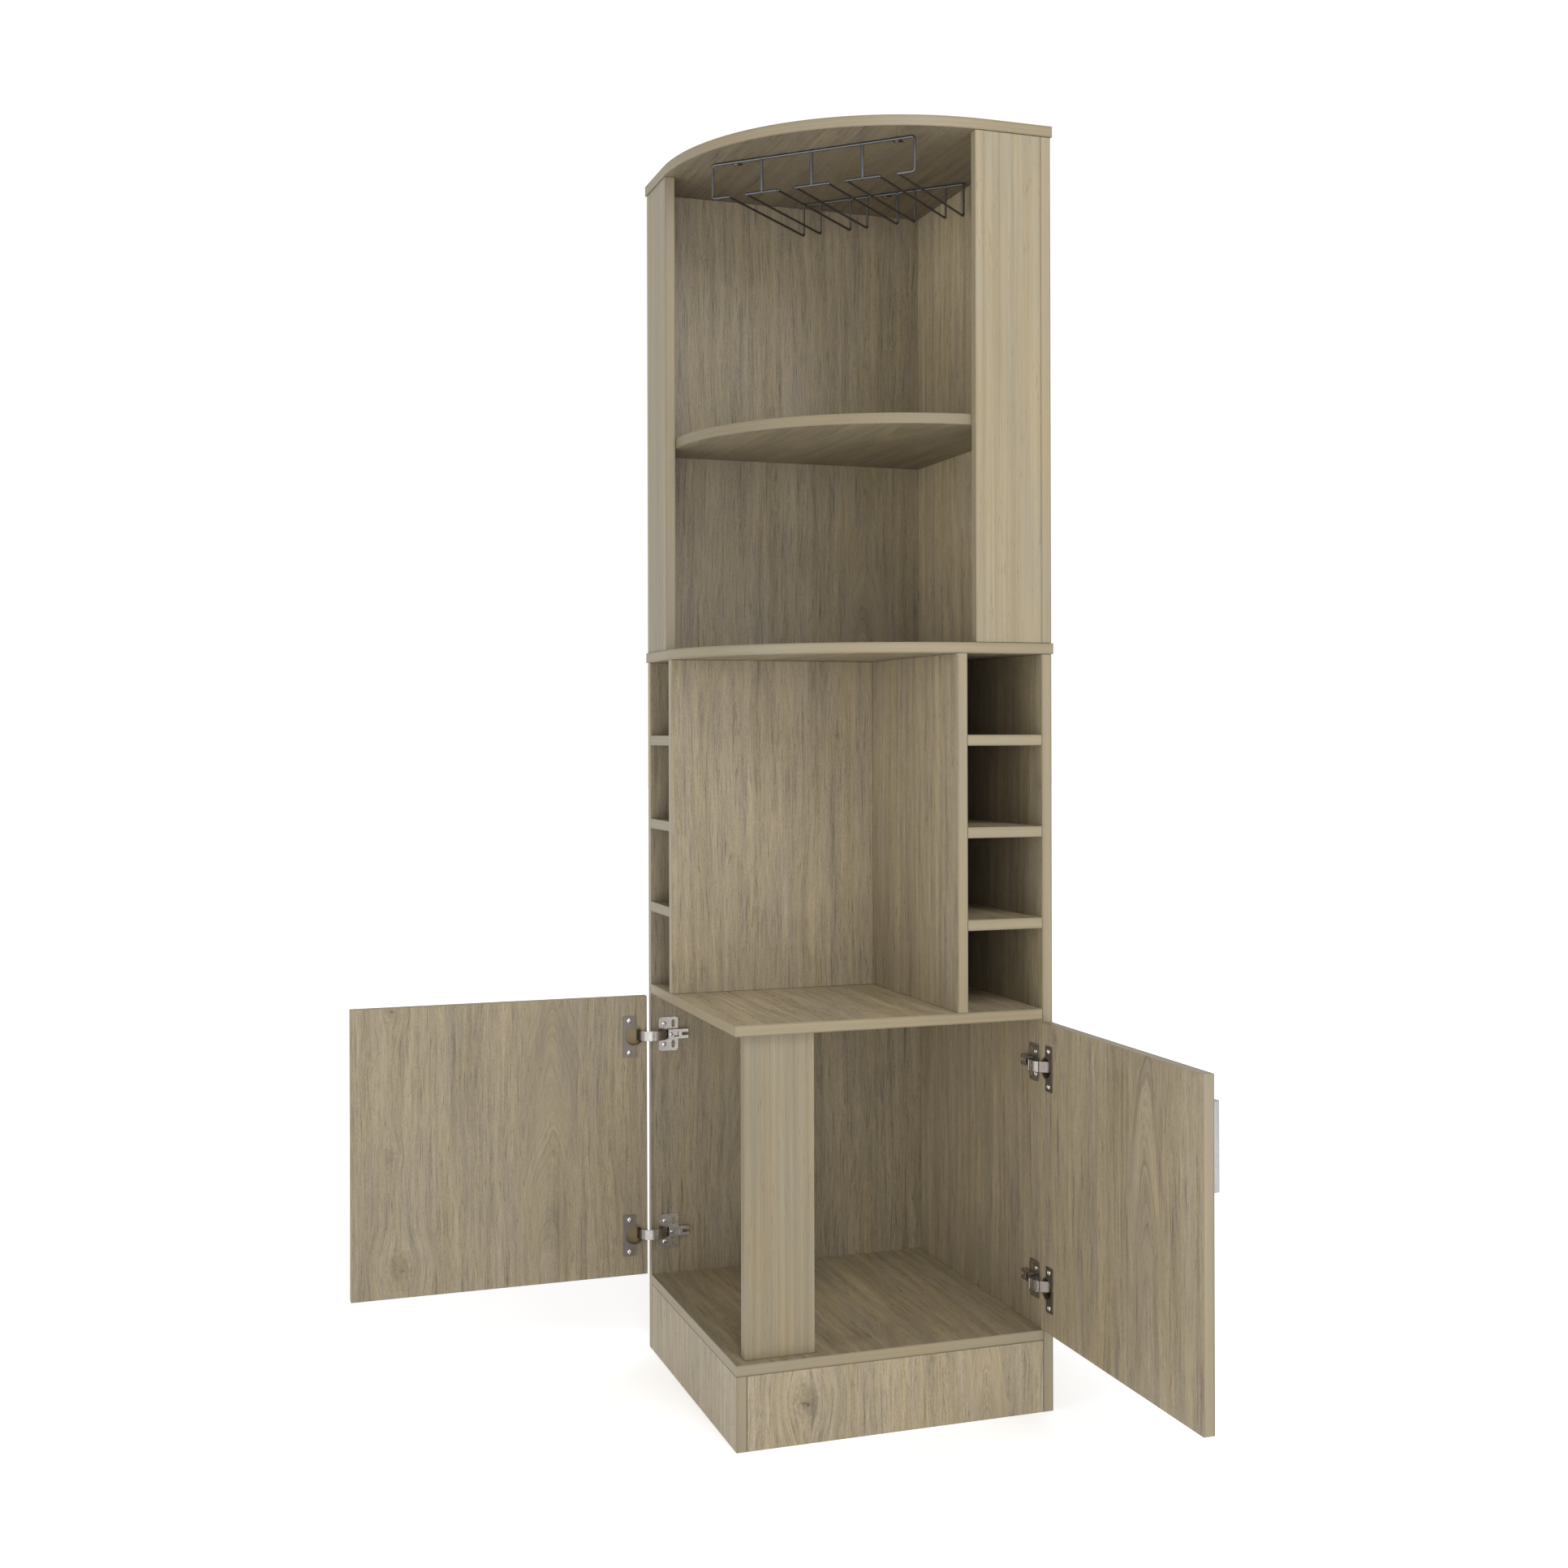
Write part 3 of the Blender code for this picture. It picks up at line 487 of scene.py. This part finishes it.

# node, grain axis, face print, place in the print, tones of faces and edges, heart and curve;
# the tones are partly each board's own and partly painted light and shade
BOARDS = (
    ("lower_left_panel", Z, PANEL_PRINT, 1, 0.97, 0.95, -0.30),
    ("lower_right_panel", Z, PANEL_PRINT, 2, 1.05, 0.95, -0.25),
    ("upper_left_panel", Z, PANEL_PRINT, 3, 0.96, 0.95, -0.11),
    ("upper_right_panel", Z, PANEL_PRINT, 4, 1.48),
    ("left_plinth", Z, PANEL_PRINT, 5, 1.22),
    ("front_plinth", Z, PANEL_PRINT, 6, 1.20, 0.95, -0.10),
    ("bottom_shelf", Y, PANEL_PRINT, 7, 1.20, 0.95, -0.20),
    ("worktop_shelf", Y, PANEL_PRINT, 8, 1.54, 1.02, -0.25),
    ("corner_post", Z, STILE_PRINT, 9, 0.86, 0.86),
    ("left_rack_divider", Z, PANEL_PRINT, 10, 1.03),
    ("right_rack_divider", Z, PANEL_PRINT, 11, 1.03),
    ("left_rack_shelf_1", Y, PANEL_PRINT, 12, 0.80, 0.80),
    ("left_rack_shelf_2", Y, PANEL_PRINT, 13, 0.80, 0.80),
    ("left_rack_shelf_3", Y, PANEL_PRINT, 14, 0.80, 0.80),
    ("right_rack_shelf_1", Y, PANEL_PRINT, 15, 1.25),
    ("right_rack_shelf_2", Y, PANEL_PRINT, 16, 1.25),
    ("right_rack_shelf_3", Y, PANEL_PRINT, 17, 1.25),
    ("left_stile", Z, STILE_PRINT, 18, 0.775, 0.78),
    ("right_stile", Z, STILE_PRINT, 19, 0.93, 0.88),
    ("left_door", Z, PANEL_PRINT, 20, 0.97, 0.95, LEFT_DOOR_LOW[0] + 0.291),
    ("right_door", Z, PANEL_PRINT, 21, 1.05, 0.95, -0.78),
    ("middle_board", Y, PANEL_PRINT, 22, 0.94, 0.85, -0.22, TOP_CURVE),
    ("middle_shelf", Y, PANEL_PRINT, 23, 0.86, 0.67, -0.18, SHELF_CURVE),
    ("top_board", Y, PANEL_PRINT, 24, 0.68, 0.79, -0.20, TOP_CURVE),
)
for row in BOARDS:
    board(*row)


# Hinges
#
# Concealed hinges pressed from sheet steel and nickel-plated. A plate is screwed to the wall panel,
# the arm clips on it, a short link joins arm and cup, and the cup's flange is screwed over a bore
# in the door.

NICKEL_SKIN = "#B4AFAB"
# the flange's darker nickel is painted shade
PAINTED_SHADE_NICKEL_SKIN = "#8A827D"
# the bowl's brown is a painted reflection of the boards and painted shade inside it
BOWL_PAINTED_REFLECTION = "#8F8268"
SCREW_SKIN = "#D8D6D2"
CLOUDED = 0.90  # how much of its brightness the plating keeps where it is cloudy
CLOUD_SIZE = 10  # how many times as wide as the marks the clouds are
MARK_RANGE = (0.3, 0.7)  # nearly all values of the marks and clouds lie between these
UNEVEN = 0.15  # how far the roughness varies either way, as a share of itself
MARK_DEPTH = 0.0001  # in metres
SHEARED = 0.0002  # how far the die rounds a sheared edge
SEAM = 0.0003  # how far apart the solids of two pieces that touch are
CUP_SETBACK = 0.020  # from the door's hinge edge to the cup's middle
BOWL_RIM = 0.0008  # the bowl begins a little in front of the door's inner face
BOWL_WALL = (0.0125, 0.0143)  # the radii that its wall lies between
BOWL_FLOOR = 0.0097  # how deep it is
CUP_SCREW = (0.0036, 0.0017)  # radius and height of each kind of head
PLATE_SCREW = (0.0034, 0.0013)
ARM_SCREW = (0.0026, 0.0011)
PLATE_HOLE = (0.0085, 0.0155)  # from the plate's front edge and from its middle
ARM_TAIL = 0.0267  # from the arm's tail to its adjusting screw
ARM_FACE = 0.0070  # how far the arm's flat stands off the wall panel
HEAD_SIDES = 48
HEAD_RINGS = 12
HEAD_RIM = 0.30  # the dome's height at its rim, as a share of the whole
CROSS_WIDTH = 0.13  # half the width and half the length of the cross, as shares of the radius
CROSS_LENGTH = 0.60
CROSS_DEPTH = 0.75  # as a share of the head's height
CROSS_SLOPE = 0.4  # how much shallower it is at its ends
CROSS_TURN = radians(28)


def plated(name, colour, roughness, grit, strength):
    """Plated metal: a clean bright skin over faint marks of its making, a little cloudy.

    grit is the size of the marks, in metres, and strength how much they show. Real ones are 0.1 mm
    or finer and are drawn 0.8 to 2 mm wide, because the picture can't show finer ones.
    """
    material = bpy.data.materials.new(name)
    material.use_nodes = True
    tree = material.node_tree
    shader = tree.nodes["Principled BSDF"]
    shader.inputs["Metallic"].default_value = 1
    place = add(tree, "TexCoord").outputs["Object"]
    marks = add(tree, "TexNoise", {"Vector": place, "Scale": 1 / grit, "Detail": 3})
    clouds = add(tree, "TexNoise", {"Vector": place, "Scale": 1 / CLOUD_SIZE / grit, "Detail": 2})
    ramp = add(tree, "ValToRGB", [clouds])
    cloudy, clear = ramp.color_ramp.elements
    cloudy.position, clear.position = MARK_RANGE
    cloudy.color = [v * CLOUDED for v in linear(colour)[:3]] + [1]
    clear.color = linear(colour)
    tree.links.new(ramp.outputs[0], shader.inputs["Base Color"])
    spread = (*MARK_RANGE, roughness * (1 - UNEVEN), roughness * (1 + UNEVEN))
    dull = add(tree, "MapRange", (marks, *spread))
    tree.links.new(dull.outputs[0], shader.inputs["Roughness"])
    bump = add(tree, "Bump", {"Height": marks, "Strength": strength, "Distance": MARK_DEPTH})
    tree.links.new(bump.outputs[0], shader.inputs["Normal"])
    return material


# Smooth sheet under bright plating: reflects its surroundings a little blurred
NICKEL = plated(
    "pressed_nickel_plated_steel", NICKEL_SKIN, roughness=0.28, grit=0.002, strength=0.03
)
# The same sheet under duller plating, with only a soft glow; its darker colour is painted shade
PAINTED_SHADE_NICKEL = plated(
    "nickel_plated_steel_with_painted_shade", PAINTED_SHADE_NICKEL_SKIN, roughness=0.36, grit=0.002, strength=0.03
)
# Sheet that was stretched into a bowl: matt. Its brown, darker colour is a painted reflection of
# the boards round it and painted shade inside the bowl
BOWL = plated(
    "drawn_nickel_with_painted_reflection", BOWL_PAINTED_REFLECTION, roughness=0.45, grit=0.002, strength=0.05
)
# Polished heads: small, sharp, nearly white lights
SCREW = plated(
    "bright_nickel_plated_screw_steel", SCREW_SKIN, roughness=0.16, grit=0.001, strength=0.02
)


def screw_head(name, place, outward, size, body, replaced=(), finish=SCREW):
    """A domed head with a cross recess. place is the middle of its seat and outward its axis."""
    radius, height = size
    arm, length = CROSS_WIDTH * radius, CROSS_LENGTH * radius
    shape = bmesh.new()

    def lifted(a, b):
        """A point of the dome, sunk where the cross is pressed in."""
        share = min(1, sqrt(a * a + b * b) / radius)
        level = height * (HEAD_RIM + (1 - HEAD_RIM) * sqrt(1 - share * share))
        if min(abs(a), abs(b)) < arm and max(abs(a), abs(b)) < length:
            level -= CROSS_DEPTH * height * (1 - CROSS_SLOPE * max(abs(a), abs(b)) / length)
        return Vector((a, b, level))

    middle = shape.verts.new(lifted(0, 0))
    rings = []
    turns = [2 * pi * i / HEAD_SIDES for i in range(HEAD_SIDES)]
    for i in range(1, HEAD_RINGS + 1):
        reach = radius * i / HEAD_RINGS
        ring = [lifted(reach * cos(turn), reach * sin(turn)) for turn in turns]
        rings.append([shape.verts.new(point) for point in ring])
    rings.append([shape.verts.new((radius * cos(turn), radius * sin(turn), 0)) for turn in turns])
    for j in range(HEAD_SIDES):
        k = (j + 1) % HEAD_SIDES
        shape.faces.new((middle, rings[0][j], rings[0][k]))
        for ring, following in zip(rings, rings[1:]):
            shape.faces.new((ring[j], following[j], following[k], ring[k]))
    shape.faces.new(list(reversed(rings[-1])))
    shape.normal_update()
    for face in shape.faces:
        face.smooth = True
    for edge in shape.edges:
        edge.smooth = edge.calc_face_angle(0) < SOFT_ANGLE
    outward = Vector(outward)
    up = Vector((0, 0, 1)) if abs(outward.z) < 0.5 else Vector((0, 1, 0))
    upright = Matrix((up.cross(outward), up, outward)).transposed()
    turned = upright @ Matrix.Rotation(CROSS_TURN, 3, "Z")
    shape.transform(Matrix.Translation(place) @ turned.to_4x4())
    show(name, shape, (finish,), body, replaced)


def in_bowl(face, normal_axis, along_axis, inner_face, middle):
    """Whether a face of the cup is on the wall or the floor of its drawn bowl."""
    centre = face.calc_center_median()
    off = Vector((centre[along_axis] - middle[0], centre.z - middle[1])).length
    depth = centre[normal_axis] - inner_face
    return depth > -BOWL_RIM and off < BOWL_WALL[1] and (off > BOWL_WALL[0] or depth > BOWL_FLOOR)


# Each hand's axis along its open door and axis through it
for hand, along_axis, normal_axis in (("left", X, Y), ("right", Y, X)):
    outward = [0, 0, 0]
    outward[normal_axis] = -1
    door_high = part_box(f"{hand}_door")[1]
    for level in ("upper", "lower"):
        name = f"{hand}_{level}_hinge"
        for part in ("plate", "arm", "link"):
            node = f"{name}_{part}"
            body = frame["nodes"][node]["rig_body"]
            shape = eased_copy(node, SHEARED)
            show(f"{node}_dressed", shape, (NICKEL,), body, (node,))

        node = f"{name}_cup"
        low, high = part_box(node)
        height = (low[2] + high[2]) / 2
        middle = (door_high[along_axis] - CUP_SETBACK, height)
        inner_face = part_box(f"{hand}_door")[0][normal_axis]
        shape = eased_copy(node, SHEARED)
        # Faces in the bowl take the brown copy of the nickel, painted reflection and painted shade;
        # the rest take the darker copy, painted shade
        for face in shape.faces:
            drawn = in_bowl(face, normal_axis, along_axis, inner_face, middle)
            face.material_index = 1 if drawn else 0
        door_body = frame["nodes"][node]["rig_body"]
        show(f"{node}_dressed", shape, (PAINTED_SHADE_NICKEL, BOWL), door_body, (node,))
        for end in ("top", "bottom"):
            node = f"{hand}_{level}_cup_{end}_screw"
            low, high = (Vector(corner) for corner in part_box(node))
            place = (low + high) / 2
            place[normal_axis] = high[normal_axis] + SEAM
            screw_head(f"{node}_dressed", place, outward, CUP_SCREW, door_body, (node,))

        low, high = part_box(f"{name}_plate")
        for end, way in (("top", 1), ("bottom", -1)):
            place = Vector((0, 0, height + way * PLATE_HOLE[1]))
            place[along_axis] = low[along_axis] + PLATE_HOLE[0]
            place[normal_axis] = low[normal_axis]
            screw_head(f"{hand}_{level}_plate_{end}_screw", place, outward, PLATE_SCREW, "carcass")
        place = Vector((0, 0, height))
        place[along_axis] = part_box(f"{name}_arm")[1][along_axis] - ARM_TAIL
        place[normal_axis] = high[normal_axis] + SEAM - ARM_FACE
        screw_head(f"{hand}_{level}_arm_screw", place, outward, ARM_SCREW, "carcass")


# Handles
#
# Square C-shaped pulls, cast in zinc and plated satin, each screwed to its door from inside. The
# satin plating spreads the light into an even grey.

SATIN_SKIN = "#A8A8A7"
SATIN = plated("satin_plated_zinc", SATIN_SKIN, roughness=0.34, grit=0.0008, strength=0.05)
for node in ("left_handle", "right_handle"):
    frame["nodes"][node].material_slots[0].material = SATIN


# Stemware rack
#
# Steel wire, bent and spot-welded, with a thin grey coat, hung from screws through three flat
# tabs. The four lanes between its rails are open at the front.

WIRE_COAT = "#67686A"
# A thin smooth coat, neither matt nor bright: one soft line of light along each wire
COATED_WIRE = plated(
    "grey_coated_steel_wire", WIRE_COAT, roughness=0.42, grit=0.001, strength=0.05
)
RACK_MIDDLE = Vector((-0.34997, -0.36497, 1.745))  # where its own frame stands, under the top board
RACK_ACROSS = Vector((cos(radians(-45)), sin(radians(-45)), 0))
RACK_BACK = Vector((-RACK_ACROSS.y, RACK_ACROSS.x, 0))
RACK_FRONT = 0.080  # from there to the front bars and to the rear one
RACK_REAR = 0.32099
RACK_PITCH = 0.0785  # from one hanger to the next
RACK_REACH = 0.025  # from a hanger to the rails on each side of it
RACK_BAR = -0.0023  # the bars' and the rails' levels
RACK_RAIL = -0.0498
TAB_FACE = -0.0015  # the level of the tabs' lower faces
TAB_MIDDLE = 0.012  # from a bar to the middle of its tab
TAB_OFF = 0.1256  # from the rack's middle to the tabs at its sides
TAB_SCREW = (0.0035, 0.0018)
WELD_SIZE = 0.0027
WELD_OFF = 0.0018  # from a bar's middle to its welds
WELD_FLAT = 0.8  # a weld's height, as a share of its width
WELD_BULGE = 0.16  # how uneven a weld is
WELD_GRAIN = 1.7  # how fine its lumps are
WELD_SEED = 900  # sets the welds apart, so that no two are alike

for node, piece in frame["nodes"].items():
    if node.startswith("rack_"):
        piece.material_slots[0].material = COATED_WIRE


def on_rack(across, back, level):
    """A point of the rack's own frame in the room."""
    return RACK_MIDDLE + RACK_ACROSS * across + RACK_BACK * back + Vector((0, 0, level))


weld_places = []
for i in range(-2, 3):
    hanger = i * RACK_PITCH
    if abs(i) < 2:
        weld_places += [(hanger, RACK_FRONT, RACK_BAR), (hanger, RACK_FRONT, RACK_RAIL)]
    for way in (-1, 1):
        rail = hanger + way * RACK_REACH
        if abs(rail) < 2 * RACK_PITCH:
            weld_places.append((rail, RACK_FRONT + WELD_OFF, RACK_RAIL))
            weld_places.append((rail, RACK_REAR, RACK_BAR - WELD_OFF))
welds = bmesh.new()
for across, back, level in weld_places:
    nugget = bmesh.ops.create_icosphere(welds, subdivisions=3, radius=WELD_SIZE)["verts"]
    centre = on_rack(across, back, level)
    for vert in nugget:
        bulge = 1 + WELD_BULGE * noise.noise(vert.co / WELD_SIZE * WELD_GRAIN + centre * WELD_SEED)
        vert.co = centre + Vector((vert.co.x, vert.co.y, WELD_FLAT * vert.co.z)) * bulge
for face in welds.faces:
    face.smooth = True
show("rack_welds", welds, (COATED_WIRE,), "carcass")

for name, across, back in (
    ("left", -TAB_OFF, RACK_FRONT), ("right", TAB_OFF, RACK_FRONT), ("rear", 0, RACK_REAR)
):
    place = on_rack(across, back + TAB_MIDDLE, TAB_FACE)
    # The tab screws take the darker copy of the nickel: painted shade under the top board
    screw_head(f"rack_{name}_tab_screw", place, (0, 0, -1), TAB_SCREW, "carcass", (), PAINTED_SHADE_NICKEL)
